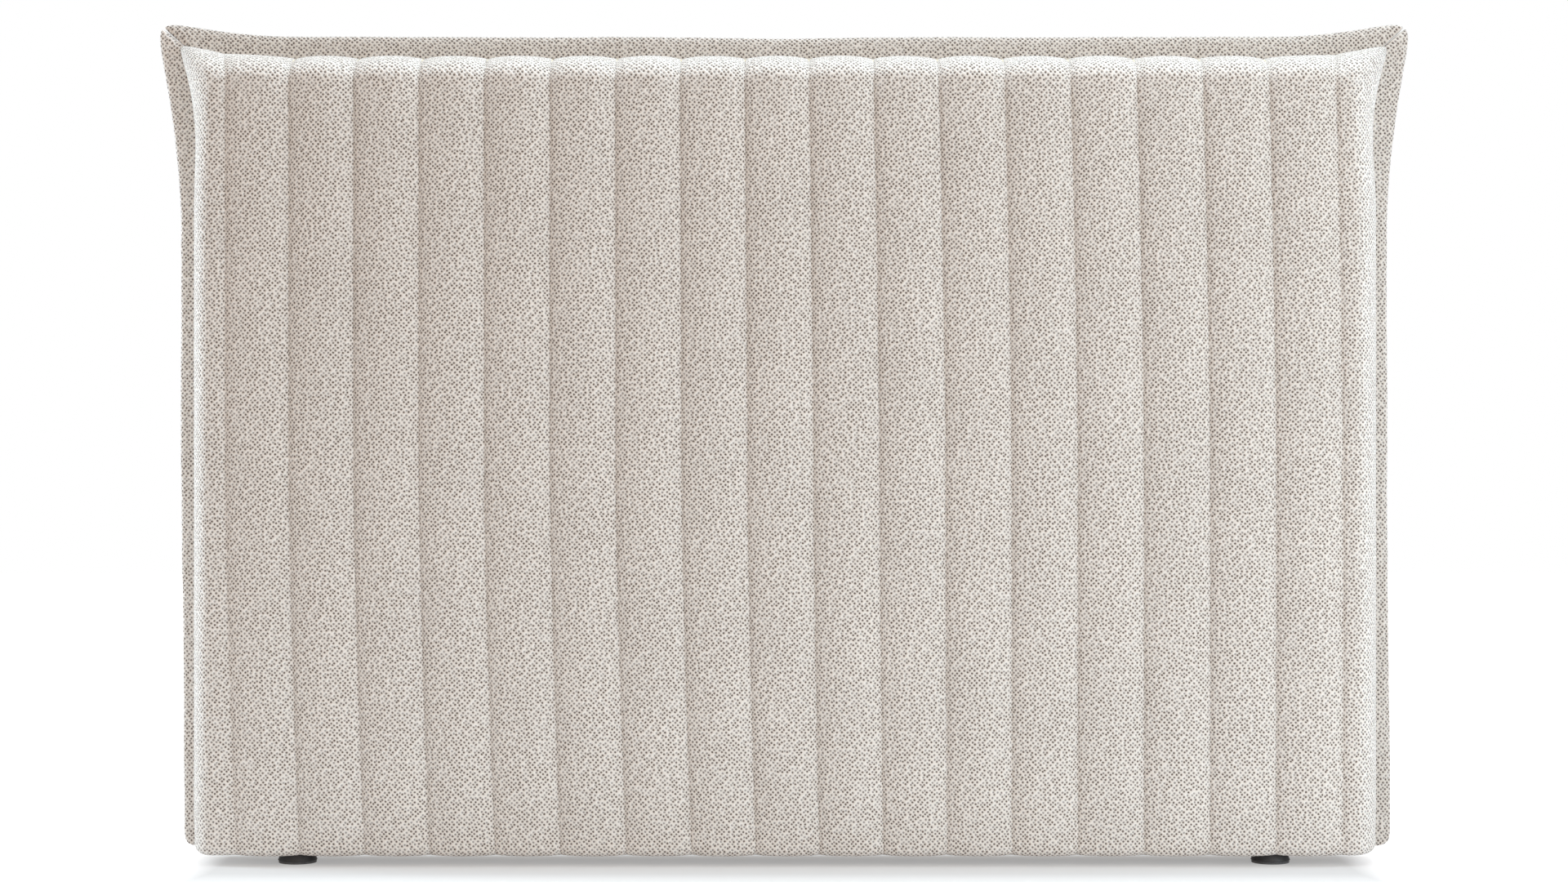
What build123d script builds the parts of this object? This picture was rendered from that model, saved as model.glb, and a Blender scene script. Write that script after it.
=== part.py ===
from build123d import *
import math
import os

# A floor-standing upholstered headboard for a bed 160 cm wide.
# Lengths are in millimetres. X is the width, Y runs from the front face to the back, Z is up from the floor.
# The origin is on the floor, at the middle of the whole width and depth.

# Channelled cushion, seen from the front
channel_count = 17
channel_width = 90.0  # from seam to seam
border_width = 48.0  # from the outermost seam to the cushion's side
cushion_height = 1100.0  # without the raised corners
floor_gap = 14.0  # under the cushion

# Layers of the cushion and the back, from the front to the wall
channel_crown = 9.0  # how far a channel stands in front of its seams
cover_wall = 2.7  # quilted fabric at a seam
soft_gap = 0.3  # between curved soft pieces
foam_thickness = 14.5
board_thickness = 4.0
timber_depth = 77.0
turnover_thickness = 1.5
lining_thickness = 1.0

# Rounding of the cushion
top_shoulder_rise = 36.0  # height that the rounded top takes up
side_shoulder_rise = 33.0  # width that a rounded side takes up
hem_radius = 10.0  # the front's lower edge
hem_fade_height = 50.0  # over which the channels flatten towards the rounded edge
seam_relief = 1.0  # the cover's plain body lies this far under the seams
channel_root = 4.0  # how deep the channels' solid reaches into the cover's body
face_corner_radius = 24.0  # the upper corners, at the face
ear_tip_radius = 4.0  # the upper corners, at the flange
foot_corner_radius = 12.0  # the lower corners
core_corner_radius = 5.0  # all corners of the cover's inside
side_padding = 15.0  # beside and above the frame

# Raised corners, at the flange
ear_out = 32.0  # how far a corner reaches past the cushion's side
ear_up = 22.0  # how far a corner reaches past the cushion's top
ear_side_run = 144.0  # length of the side that bends out to the corner
ear_top_run = 120.0  # length of the top that bends up to the corner

# Flat padded flange round the sides and the top
flange_width = 30.0
flange_thickness = 12.0
flange_setback = 4.0  # from the frame's back
flange_edge_radius = 4.5
flange_foot_radius = 25.0
flange_foot_gap = 16.0  # from the floor
flange_ear_out = 36.0
flange_ear_up = 27.0
flange_tip_radius = 15.0

# Timber frame
timber_thickness = 28.0
timber_chamfer = 1.5
upright_spacing = 800.0  # between the two inner uprights
mid_rail_stagger = 45.0  # the middle rail stands higher, so that its screws can be driven
corner_block_leg = 80.0
corner_block_thickness = 18.0

# Back
turnover_margin = 50.0
turnover_lip = 2.0
lining_inset = 12.0  # from the frame's edge
lining_hole_radius = 6.0  # over each threaded insert

# Screws
frame_screw_length = 70.0
frame_screw_radius = 2.25
frame_screw_head_radius = 4.5
frame_screw_spacing = 32.0
screw_clearance = 0.1

# Threaded inserts in the inner uprights, two for each wall bracket
bracket_hole_spacing = 40.0  # between the two inserts of a bracket
bracket_screw_gap = 16.0  # from a frame screw's tip down to the nearest insert's middle
insert_length = 13.0
insert_thread_radius = 3.0
insert_barrel_radius = 4.5
insert_flange_radius = 8.0
insert_bore_depth = 25.0

# Glides that carry the headboard
foot_inset = 141.0  # from the cushion's side to the glide's middle
foot_setback = 38.5  # from the seams back to the glide's middle, under the centre of mass
glide_radius = 27.0
glide_bore_radius = 16.0
glide_taper = 4.0
glide_edge = 1.2  # chamfer round its rims
glide_felt_radius = 26.0
glide_felt_thickness = 3.0
glide_screw_length = 26.0
glide_screw_radius = 1.75
glide_screw_head_radius = 3.5
glide_screw_spacing = 40.0

# A levelling foot inside each glide
foot_lift = 1.0  # above the floor when it is screwed home
foot_radius = 14.0
foot_taper = 1.0
foot_edge = 0.8  # chamfer round its rims
foot_height = 8.0
foot_pad_radius = 13.0
foot_pad_thickness = 2.0
stem_radius = 4.0
stem_length = 32.0  # above the foot
stem_chamfer = 0.8
stem_head_radius = 7.0
stem_head_height = 3.0
stem_head_floor = 1.5  # foot left under the head
swivel_gap = 0.3
collar_flats = 13.0
collar_height = 3.8
thread_gap = 0.05
nut_flange_radius = 11.0
nut_flange_thickness = 1.6
nut_barrel_radius = 5.0
nut_barrel_length = 11.0
nut_hole_gap = 1.0  # between the cover and the nut's flange
stem_bore_gap = 1.0  # round the stem, above the nut

overrun = 20.0  # how far a cutter reaches past what it cuts

# Shapes, as angles in degrees round the shoulder and shares of the crown there
shoulder_angles = (0, 11, 22, 35, 50, 70, 90)
shoulder_crown_shares = (1.0, 0.97, 0.92, 0.82, 0.68, 0.48, 0.32)
fade_crown_shares = (1.0, 0.99, 0.96, 0.90, 0.82, 0.72, 0.61)  # at even steps down the fade
hem_angles = (0, -30, -60, -90)
hem_crown_shares = (0.49, 0.35, 0.22, 0.12)
dive_share = 0.5  # of the root's depth, where the channels end under the hem
dive_crown_share = 0.05
ear_least_share = 0.05  # of the ear, at the cushion's face

# Places that follow from the sizes above
total_depth = (
    channel_crown + cover_wall + soft_gap + foam_thickness
    + board_thickness + timber_depth + turnover_thickness + lining_thickness
)
seam_y = -total_depth / 2 + channel_crown
foam_y = seam_y + cover_wall + soft_gap
board_y = foam_y + foam_thickness
timber_y = board_y + board_thickness
frame_back_y = timber_y + timber_depth
turnover_back_y = frame_back_y + turnover_thickness
lining_back_y = turnover_back_y + lining_thickness
flange_back_y = frame_back_y - flange_setback
flange_y = flange_back_y - flange_thickness
shoulder_depth = flange_y - seam_y
timber_mid_y = timber_y + timber_depth / 2

cushion_low = floor_gap
underside = cushion_low + seam_relief
cushion_top = floor_gap + cushion_height
seam_half_span = channel_count * channel_width / 2
cushion_half = seam_half_span + border_width
frame_half = cushion_half - cover_wall - soft_gap - side_padding
frame_top = cushion_top - cover_wall - soft_gap - side_padding
frame_low = cushion_low + cover_wall + soft_gap
bay_low = frame_low + timber_thickness
bay_top = frame_top - timber_thickness
stile_x = frame_half - timber_thickness / 2
inner_upright_x = upright_spacing / 2
upright_places = (-stile_x, -inner_upright_x, inner_upright_x, stile_x)

bracket_z = frame_top - frame_screw_length - bracket_screw_gap - bracket_hole_spacing / 2
foot_x = cushion_half - foot_inset
foot_y = seam_y + foot_setback
foot_low = foot_lift + foot_pad_thickness
foot_top = foot_low + foot_height
collar_low = foot_top + swivel_gap
head_low = foot_low + stem_head_floor


def span_box(x_span, y_span, z_span):
    """A box from its lowest to its highest X, Y and Z."""
    spans = (x_span, y_span, z_span)
    sizes = [high - low for low, high in spans]
    middles = [(high + low) / 2 for low, high in spans]
    return Pos(*middles) * Box(*sizes)


def timber(x_span, y_span, z_span):
    """A planed timber with its long edges eased."""
    solid = span_box(x_span, y_span, z_span)
    sizes = [high - low for low, high in (x_span, y_span, z_span)]
    long_axis = (Axis.X, Axis.Y, Axis.Z)[sizes.index(max(sizes))]
    return chamfer(solid.edges().filter_by(long_axis), timber_chamfer)


def mirrored(solid):
    """The same piece on the other side of the middle."""
    return mirror(solid, Plane.YZ)


def eared_outline(y, half_width, low, top, ear, tip_radius, foot_radius):
    """A front view at one depth: straight sides and low edge, and top corners drawn out into ears."""
    out, up = ear
    side_bend_z = cushion_top - ear_side_run
    top_bend_x = cushion_half - ear_top_run
    foot = Vector(half_width, y, low)
    side_bend = Vector(half_width, y, side_bend_z)
    tip = Vector(half_width + out, y, top + up)
    top_bend = Vector(top_bend_x, y, top)
    right = [
        Edge.make_line(foot, side_bend),
        Edge.make_tangent_arc(side_bend, Vector(0, 0, 1), tip),
        Edge.make_tangent_arc(top_bend, Vector(1, 0, 0), tip),
    ]
    left = [edge.mirror(Plane.YZ) for edge in right]
    level = [
        Edge.make_line(top_bend, Vector(-top_bend_x, y, top)),
        Edge.make_line(foot, Vector(-half_width, y, low)),
    ]
    outline = Wire(right + left + level)
    feet = [v for v in outline.vertices() if v.Z < side_bend_z]
    outline = outline.fillet_2d(foot_radius, feet)
    tips = [v for v in outline.vertices() if v.Z > top and abs(v.X) > half_width]
    return outline.fillet_2d(tip_radius, tips)


def hem_corner(skin):
    """What the rounded lower edge takes off a square one."""
    front = seam_y + skin
    low = cushion_low + skin
    span = (-cushion_half - overrun, cushion_half + overrun)
    corner = span_box(span, (front - overrun, front + hem_radius), (low - overrun, low + hem_radius))
    axis = Plane(origin=(0, front + hem_radius, low + hem_radius), x_dir=(0, 1, 0), z_dir=(1, 0, 0))
    return corner - axis * Cylinder(hem_radius, 2 * (cushion_half + 2 * overrun))


def shoulder_stations(skin):
    """Depths down the rounded shoulder, each with the share by which the outline still lies inward."""
    angles = [math.radians(angle) for angle in shoulder_angles]
    return [(seam_y + skin + (shoulder_depth - skin) * (1 - math.cos(a)), 1 - math.sin(a)) for a in angles]


def pillow(skin):
    """The cushion's body, lofted from its face back to the raised corners at the flange."""
    outlines = []
    for y, inward in shoulder_stations(skin):
        growth = max(ear_least_share, (1 - inward) ** 2)
        outlines.append(
            eared_outline(
                y,
                cushion_half - skin - side_shoulder_rise * inward,
                cushion_low + skin,
                cushion_top - skin - top_shoulder_rise * inward,
                (ear_out * growth, ear_up * growth),
                ear_tip_radius + (face_corner_radius - ear_tip_radius) * inward,
                foot_corner_radius,
            )
        )
    return Solid.make_loft(outlines) - hem_corner(skin)


def cover_core(skin):
    """The room inside the cover, with plain corners."""
    outlines = []
    for y, inward in shoulder_stations(skin):
        half_width = cushion_half - skin - side_shoulder_rise * inward
        low = cushion_low + skin
        top = cushion_top - skin - top_shoulder_rise * inward
        place = Plane(origin=(0, y, (low + top) / 2), x_dir=(1, 0, 0), z_dir=(0, -1, 0))
        outline = place * RectangleRounded(2 * half_width, top - low, core_corner_radius)
        outlines.append(outline.wire())
    return Solid.make_loft(outlines) - hem_corner(skin)


def channel_section(y, z, lean, crown_share):
    """All channels cut square to the side profile, where that profile's outside leans by an angle."""
    normal = Vector(0, -math.cos(math.radians(lean)), math.sin(math.radians(lean)))
    start = Vector(0, y, z)

    def at(x, out):
        return start + Vector(x, 0, 0) + normal * out

    seams = [at(index * channel_width - seam_half_span, 0) for index in range(channel_count + 1)]
    crown = Vector(channel_width / 2, 0, 0) + normal * channel_crown * crown_share
    edges = [Edge.make_three_point_arc(a, a + crown, b) for a, b in zip(seams, seams[1:])]
    left_root = at(-seam_half_span, -channel_root)
    right_root = at(seam_half_span, -channel_root)
    edges.append(Edge.make_line(seams[-1], right_root))
    edges.append(Edge.make_line(right_root, left_root))
    edges.append(Edge.make_line(left_root, seams[0]))
    return Wire(edges)


def shoulder_sections():
    """The channels over the rounded top, from the face back to the flange."""
    sections = []
    for angle, share in zip(shoulder_angles, shoulder_crown_shares):
        a = math.radians(angle)
        lean = math.degrees(math.atan2(math.sin(a) / top_shoulder_rise, math.cos(a) / shoulder_depth))
        y = flange_y - shoulder_depth * math.cos(a)
        z = cushion_top - top_shoulder_rise * (1 - math.sin(a))
        sections.append(channel_section(y, z, lean, share))
    sections.append(channel_section(flange_y + channel_root, cushion_top, 90, shoulder_crown_shares[-1]))
    return sections


def hem_sections():
    """The channels where they flatten down the face and round the lower edge, until they end inside."""
    sections = []
    step = hem_fade_height / len(fade_crown_shares)
    for index, share in enumerate(fade_crown_shares):
        z = cushion_low + hem_radius + hem_fade_height - index * step
        sections.append(channel_section(seam_y, z, 0, share))
    for angle, share in zip(hem_angles, hem_crown_shares):
        y = seam_y + hem_radius * (1 - math.cos(math.radians(angle)))
        z = cushion_low + hem_radius * (1 + math.sin(math.radians(angle)))
        sections.append(channel_section(y, z, angle, share))
    dive_z = cushion_low + channel_root * dive_share
    sections.append(channel_section(seam_y + 2 * hem_radius, dive_z, hem_angles[-1], dive_crown_share))
    return sections


def channels():
    """The swelling channels: flat at the hem, straight up the face and over the rounded top."""
    hem = hem_sections()
    shoulder = shoulder_sections()
    face_height = cushion_height - top_shoulder_rise - hem_radius - hem_fade_height
    face = Solid.extrude(Face(hem[0]), Vector(0, 0, face_height))
    return [Solid.make_loft(hem), face, Solid.make_loft(shoulder)]


def foot_cylinders(radius, low, high):
    """One upright cylinder on each foot's axis."""
    return [Pos(side * foot_x, foot_y, 0) * upright_cylinder(radius, low, high) for side in (-1, 1)]


def quilted_cover():
    """The channelled front cover, a shell that is open at the back, with holes for the feet."""
    cover = pillow(seam_relief).fuse(*channels()) - cover_core(cover_wall)
    wide = (-2 * cushion_half, 2 * cushion_half)
    cover = cover & span_box(wide, (-total_depth, flange_y), (0, 2 * cushion_top))
    cover = cover.cut(*foot_cylinders(nut_flange_radius + nut_hole_gap, 0, frame_low + overrun))
    return cover.cut(*placed(glide_screw(screw_clearance), glide_screw_places()))


def foams():
    """The padding inside the cover: a slab before the board, and strips beside and above the frame."""
    filling = cover_core(cover_wall + soft_gap)
    wide = (-2 * cushion_half, 2 * cushion_half)
    tall = (0, 2 * cushion_top)
    behind_board = (board_y, flange_y)
    above = span_box((-frame_half, frame_half), behind_board, (frame_top, 2 * cushion_top))
    return {
        "front_foam": filling & span_box(wide, (-total_depth, board_y), tall),
        "left_side_foam": filling & span_box((-2 * cushion_half, -frame_half), behind_board, tall),
        "right_side_foam": filling & span_box((frame_half, 2 * cushion_half), behind_board, tall),
        "top_foam": filling & above,
    }


def flange():
    """The flat padded border behind the cushion, in three strips that meet on the corners' diagonals."""
    outline = eared_outline(
        flange_y,
        cushion_half + flange_width,
        flange_foot_gap,
        cushion_top + flange_width,
        (flange_ear_out, flange_ear_up),
        flange_tip_radius,
        flange_foot_radius,
    )
    band = Solid.extrude(Face(outline), Vector(0, flange_thickness, 0))
    level = [edge for edge in band.edges() if edge.bounding_box().size.Y < soft_gap]
    rim = [edge for edge in level if edge.center().Z > flange_foot_gap]
    band = band.fillet(flange_edge_radius, rim)
    inside = span_box((-frame_half, frame_half), (-total_depth, total_depth), (0, frame_top))
    band = band - inside
    tip_x = cushion_half + flange_width + flange_ear_out
    tip_z = cushion_top + flange_width + flange_ear_up
    rise = (tip_z - frame_top) / (tip_x - frame_half)
    far = 2 * cushion_half
    far_z = frame_top + (far - frame_half) * rise
    wedge = Polyline((frame_half, frame_top), (far, far_z), (far, -far), (frame_half, -far), close=True)
    side = extrude(Plane.XZ * make_face(wedge), total_depth, both=True)
    sides = [mirrored(side), side]
    return {
        "left_flange": band & sides[0],
        "top_flange": band - sides[0] - sides[1],
        "right_flange": band & sides[1],
    }


def screw(length, radius, head_radius, grow=0):
    """A countersunk screw along +Z with its head's flat face at zero. Grown a little, it cuts its hole."""
    tip = 2 * radius
    outline = Polyline(
        (0, 0),
        (head_radius + grow, 0),
        (radius + grow, -(head_radius - radius)),
        (radius + grow, -(length - tip)),
        (0, -length - grow),
        close=True,
    )
    return revolve(Plane.XZ * make_face(outline), Axis.Z)


def frame_screw(grow=0):
    return screw(frame_screw_length, frame_screw_radius, frame_screw_head_radius, grow)


def glide_screw(grow=0):
    return screw(glide_screw_length, glide_screw_radius, glide_screw_head_radius, grow)


def glide_screw_places():
    """Two screws up through each glide and the cover into the bottom rail."""
    half = glide_screw_spacing / 2
    return [
        Pos(side * foot_x + end * half, foot_y, glide_felt_thickness) * Rot(180, 0, 0)
        for side in (-1, 1)
        for end in (-1, 1)
    ]


def frame_screw_places():
    """Two screws down or up into each end of every upright."""
    places = []
    for x in upright_places:
        for y in (timber_mid_y - frame_screw_spacing / 2, timber_mid_y + frame_screw_spacing / 2):
            places.append(Pos(x, y, frame_top))
            places.append(Pos(x, y, frame_low) * Rot(180, 0, 0))
    return places


def mid_rail_z():
    """The middle of the three middle rails' height, from left to right."""
    level = (frame_low + frame_top) / 2
    return (level, level + mid_rail_stagger, level)


def mid_rail_screw_places():
    """Two screws along X through an upright into each end of every middle rail."""
    places = []
    bays = zip(upright_places, upright_places[1:], mid_rail_z())
    for left, right, z in bays:
        for y in (timber_mid_y - frame_screw_spacing / 2, timber_mid_y + frame_screw_spacing / 2):
            places.append(Pos(left - timber_thickness / 2, y, z) * Rot(0, -90, 0))
            places.append(Pos(right + timber_thickness / 2, y, z) * Rot(0, 90, 0))
    return places


def insert_places():
    """The threaded inserts at the back of the inner uprights, facing the wall."""
    half = bracket_hole_spacing / 2
    return [
        Pos(side * inner_upright_x, turnover_back_y, bracket_z + end * half) * Rot(-90, 0, 0)
        for side in (-1, 1)
        for end in (-1, 1)
    ]


def upright_cylinder(radius, low, high):
    """A cylinder on the Z axis from a low to a high end."""
    return Pos(0, 0, (low + high) / 2) * Cylinder(radius, high - low)


def placed(solid, places):
    """Copies of one solid at many places, as one group."""
    return [place * solid for place in places]


def frame():
    """Rails, uprights, middle rails and corner blocks, bored for every screw, nut and insert."""
    depth = (timber_y, frame_back_y)
    width = (-frame_half, frame_half)
    half = timber_thickness / 2
    pieces = {
        "top_rail": timber(width, depth, (bay_top, frame_top)),
        "bottom_rail": timber(width, depth, (frame_low, bay_low)),
    }
    uprights = ("left_stile", "inner_left_upright", "inner_right_upright", "right_stile")
    for name, x in zip(uprights, upright_places):
        pieces[name] = timber((x - half, x + half), depth, (bay_low, bay_top))
    rails = zip(("left_mid_rail", "centre_mid_rail", "right_mid_rail"), upright_places, upright_places[1:])
    for (name, left, right), z in zip(rails, mid_rail_z()):
        pieces[name] = timber((left + half, right - half), depth, (z - half, z + half))
    bores = placed(frame_screw(screw_clearance), frame_screw_places() + mid_rail_screw_places())
    bores += placed(glide_screw(screw_clearance), glide_screw_places())
    bores += placed(upright_cylinder(insert_barrel_radius, -insert_bore_depth, overrun), insert_places())
    bores += foot_cylinders(stem_radius + stem_bore_gap, frame_low - overrun, bay_low + overrun)
    for name, solid in pieces.items():
        near = [bore for bore in bores if touches(solid, bore)]
        pieces[name] = solid.cut(*near) if near else solid
    pieces.update(corner_blocks())
    return pieces


def touches(solid, other):
    """Whether two solids' boxes meet."""
    a = solid.bounding_box()
    b = other.bounding_box()
    pairs = ((a.min.X, a.max.X, b.min.X, b.max.X), (a.min.Y, a.max.Y, b.min.Y, b.max.Y))
    pairs += ((a.min.Z, a.max.Z, b.min.Z, b.max.Z),)
    return all(low < other_high and other_low < high for low, high, other_low, other_high in pairs)


def corner_blocks():
    """Glued triangular blocks in the frame's corners, against the back of the board."""
    x = frame_half - timber_thickness
    blocks = {}
    for end, z, inward in (("top", bay_top, -1), ("bottom", bay_low, 1)):
        outline = Polyline(
            (x, z), (x - corner_block_leg, z), (x, z + inward * corner_block_leg), close=True
        )
        prism = extrude(Plane.XZ * make_face(outline), -corner_block_thickness)
        block = Pos(0, timber_y, 0) * prism
        blocks["right_" + end + "_corner_block"] = block
        blocks["left_" + end + "_corner_block"] = mirrored(block)
    return blocks


def turnovers():
    """Fabric margins folded over the frame's back and stapled: four strips with mitred corners, and lips."""
    half = frame_half + turnover_lip
    top = frame_top + turnover_lip
    outer = span_box((-half, half), (flange_back_y, turnover_back_y), (cushion_low, top))
    hem = span_box((-frame_half, frame_half), (flange_y, flange_back_y), (cushion_low, frame_low))
    frame_room = span_box((-frame_half, frame_half), (-total_depth, frame_back_y), (frame_low, frame_top))
    window_half = frame_half - turnover_margin
    window_z = (frame_low + turnover_margin, frame_top - turnover_margin)
    window = span_box((-window_half, window_half), (-total_depth, total_depth), window_z)
    ring = outer.fuse(hem).cut(frame_room, window)
    run = turnover_lip + turnover_margin + overrun
    mitre = Polyline(
        (half + overrun, top + overrun),
        (half - run, top - run),
        (half - run, cushion_low + run),
        (half + overrun, cushion_low - overrun),
        close=True,
    )
    right = extrude(Plane.XZ * make_face(mitre), total_depth, both=True)
    left = mirrored(right)
    wide = (-cushion_half, cushion_half)
    middle_z = (cushion_low + top) / 2
    return {
        "left_turnover": ring & left,
        "right_turnover": ring & right,
        "top_turnover": ring.cut(left, right) & span_box(wide, wide, (middle_z, 2 * top)),
        "bottom_turnover": ring.cut(left, right) & span_box(wide, wide, (0, middle_z)),
    }


def back_lining():
    """The thin dust lining over the back, with a hole over each threaded insert."""
    half = frame_half - lining_inset
    height = (frame_low + lining_inset, frame_top - lining_inset)
    lining = span_box((-half, half), (turnover_back_y, lining_back_y), height)
    return lining.cut(*placed(Cylinder(lining_hole_radius, total_depth), insert_places()))


def bracket_insert():
    """A threaded insert: a barrel in the timber, and a flange that fills the gap under the lining."""
    outline = Polyline(
        (insert_thread_radius, 0),
        (insert_flange_radius, 0),
        (insert_flange_radius, -turnover_thickness),
        (insert_barrel_radius, -turnover_thickness),
        (insert_barrel_radius, -insert_length),
        (insert_thread_radius, -insert_length),
        close=True,
    )
    return revolve(Plane.XZ * make_face(outline), Axis.Z)


def tee_nut():
    """A drive-in nut under the bottom rail: a round flange and a threaded barrel."""
    flange_low = frame_low - nut_flange_thickness
    bore = stem_radius + thread_gap
    outline = Polyline(
        (bore, flange_low),
        (nut_flange_radius, flange_low),
        (nut_flange_radius, frame_low),
        (nut_barrel_radius, frame_low),
        (nut_barrel_radius, frame_low + nut_barrel_length),
        (bore, frame_low + nut_barrel_length),
        close=True,
    )
    return revolve(Plane.XZ * make_face(outline), Axis.Z)


def foot_screw():
    """The foot's screw: a flat head that turns in the foot, a hexagon for a spanner and a stem."""
    top = foot_top + stem_length
    head_top = head_low + stem_head_height
    outline = Polyline(
        (0, head_low),
        (stem_head_radius, head_low),
        (stem_head_radius, head_top),
        (stem_radius, head_top),
        (stem_radius, top - stem_chamfer),
        (stem_radius - stem_chamfer, top),
        (0, top),
        close=True,
    )
    stem = revolve(Plane.XZ * make_face(outline), Axis.Z)
    collar = extrude(RegularPolygon(collar_flats / 2, 6, major_radius=False), collar_height)
    return stem + Pos(0, 0, collar_low) * collar


def open_ring(disc, bore_radius):
    """A disc as a ring that is open at the back, where a spanner reaches the foot's screw."""
    slot = span_box((-bore_radius, bore_radius), (0, total_depth), (-overrun, overrun))
    return disc - Cylinder(bore_radius, 2 * overrun) - slot


def glide():
    """The moulded glide under the cover: a ring with two screw holes."""
    outline = Polyline(
        (0, glide_felt_thickness),
        (glide_radius - glide_edge, glide_felt_thickness),
        (glide_radius, glide_felt_thickness + glide_edge),
        (glide_radius - glide_taper, underside - glide_edge),
        (glide_radius - glide_taper - glide_edge, underside),
        (0, underside),
        close=True,
    )
    ring = open_ring(revolve(Plane.XZ * make_face(outline), Axis.Z), glide_bore_radius)
    half = glide_screw_spacing / 2
    places = [Pos(end * half, 0, glide_felt_thickness) * Rot(180, 0, 0) for end in (-1, 1)]
    return ring.cut(*placed(glide_screw(screw_clearance), places))


def glide_felt():
    """The felt under the glide, which covers its screws."""
    disc = upright_cylinder(glide_felt_radius, 0, glide_felt_thickness)
    return open_ring(disc, glide_bore_radius + glide_edge)


def foot():
    """The round moulded levelling foot, with a socket that holds the screw's head."""
    socket_low = head_low - swivel_gap
    socket_top = head_low + stem_head_height + swivel_gap
    socket_radius = stem_head_radius + swivel_gap
    neck_radius = stem_radius + swivel_gap
    outline = Polyline(
        (0, foot_low),
        (foot_radius - foot_edge, foot_low),
        (foot_radius, foot_low + foot_edge),
        (foot_radius - foot_taper, foot_top - foot_edge),
        (foot_radius - foot_taper - foot_edge, foot_top),
        (neck_radius, foot_top),
        (neck_radius, socket_top),
        (socket_radius, socket_top),
        (socket_radius, socket_low),
        (0, socket_low),
        close=True,
    )
    return revolve(Plane.XZ * make_face(outline), Axis.Z)


def foot_pad():
    """The felt disc under the levelling foot."""
    return upright_cylinder(foot_pad_radius, foot_lift, foot_low)


def feet():
    """Both glides, and the levelling feet in them with their nuts."""
    pieces = {}
    for name, solid in (
        ("tee_nut", tee_nut()),
        ("foot_screw", foot_screw()),
        ("foot", foot()),
        ("foot_pad", foot_pad()),
        ("glide", glide()),
        ("glide_felt", glide_felt()),
    ):
        pieces["left_" + name] = Pos(-foot_x, foot_y, 0) * solid
        pieces["right_" + name] = Pos(foot_x, foot_y, 0) * solid
    return pieces


def fixing_sets():
    """All screws and inserts, each kind as one group."""
    return {
        "frame_screws": placed(frame_screw(), frame_screw_places()),
        "mid_rail_screws": placed(frame_screw(), mid_rail_screw_places()),
        "glide_screws": placed(glide_screw(), glide_screw_places()),
        "bracket_inserts": placed(bracket_insert(), insert_places()),
    }


def headboard():
    """Every piece by its name. A group of equal pieces is a list."""
    board_span = (-frame_half, frame_half)
    pieces = {
        "quilted_cover": quilted_cover(),
        "face_board": span_box(board_span, (board_y, timber_y), (frame_low, frame_top)),
        "back_lining": back_lining(),
    }
    for group in (foams(), flange(), turnovers(), frame(), feet(), fixing_sets()):
        pieces.update(group)
    return pieces


os.makedirs("parts", exist_ok=True)
for name, piece in headboard().items():
    solids = piece if isinstance(piece, list) else [piece]
    export_step(Compound([solid for part in solids for solid in part.solids()]), f"parts/{name}.step")
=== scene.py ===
# %% [markdown]
# # A channelled headboard with a flat flange
# The real piece is a timber frame with a hardboard face, a sheet of foam and a sewn cover. The cover is a
# nubby chenille, stitched into upright channels, and a flat padded flange runs round three sides of it. The
# CAD model gives every size and place. Here each soft piece gets the form that sewing and stuffing give, and
# each surface gets a finish made of shader nodes.

# %% Load the frame
import math
import bmesh
import bpy
import numpy as np
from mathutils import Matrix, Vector


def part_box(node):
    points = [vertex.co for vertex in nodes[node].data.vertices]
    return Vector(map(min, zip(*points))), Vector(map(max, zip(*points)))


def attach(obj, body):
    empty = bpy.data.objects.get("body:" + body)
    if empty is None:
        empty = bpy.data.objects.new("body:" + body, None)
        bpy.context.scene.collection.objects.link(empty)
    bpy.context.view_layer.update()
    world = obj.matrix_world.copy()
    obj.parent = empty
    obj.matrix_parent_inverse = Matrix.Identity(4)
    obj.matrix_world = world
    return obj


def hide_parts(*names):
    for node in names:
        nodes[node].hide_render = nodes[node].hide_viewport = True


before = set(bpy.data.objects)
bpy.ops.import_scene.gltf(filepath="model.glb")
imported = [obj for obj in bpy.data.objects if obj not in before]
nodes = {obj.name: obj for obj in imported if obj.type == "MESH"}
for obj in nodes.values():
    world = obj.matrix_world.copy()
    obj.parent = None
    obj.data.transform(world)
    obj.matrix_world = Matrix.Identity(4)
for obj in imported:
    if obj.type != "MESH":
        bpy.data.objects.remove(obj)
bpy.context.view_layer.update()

# %% [markdown]
# ## Camera
# A catalogue photo of something flat is taken square on, from far enough away that its sides stay straight.
# The width of the object in the frame gives the ratio of distance to focal length, and how much smaller the
# flange behind looks than the face in front gives the distance itself.

# %% Camera
eye_height = 0.582
camera_distance = 4.155
camera_data = bpy.data.cameras.new("camera")
camera_data.sensor_width = 36
camera_data.lens = 68.9
camera = bpy.data.objects.new("camera", camera_data)
camera.location = (0, -camera_distance, eye_height)
camera.rotation_euler = (math.radians(90), 0, 0)
bpy.context.scene.collection.objects.link(camera)
bpy.context.scene.camera = camera
bpy.context.scene.view_settings.view_transform = "Standard"
print("camera at", tuple(camera.location))

# %% [markdown]
# ## Mesh helpers
# Nearly every soft piece here is a grid of points: rows one way, columns the other. A grid is easy to shape
# with formulas, because each point knows how far along the piece it is, and its faces come out as even quads.

# %% Grid pieces


def new_piece(name, points, faces):
    """A smooth-shaded mesh object from points and faces."""
    mesh = bpy.data.meshes.new(name)
    mesh.from_pydata([tuple(p) for p in points], [], faces)
    for polygon in mesh.polygons:
        polygon.use_smooth = True
    piece = bpy.data.objects.new(name, mesh)
    bpy.context.scene.collection.objects.link(piece)
    return piece


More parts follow.
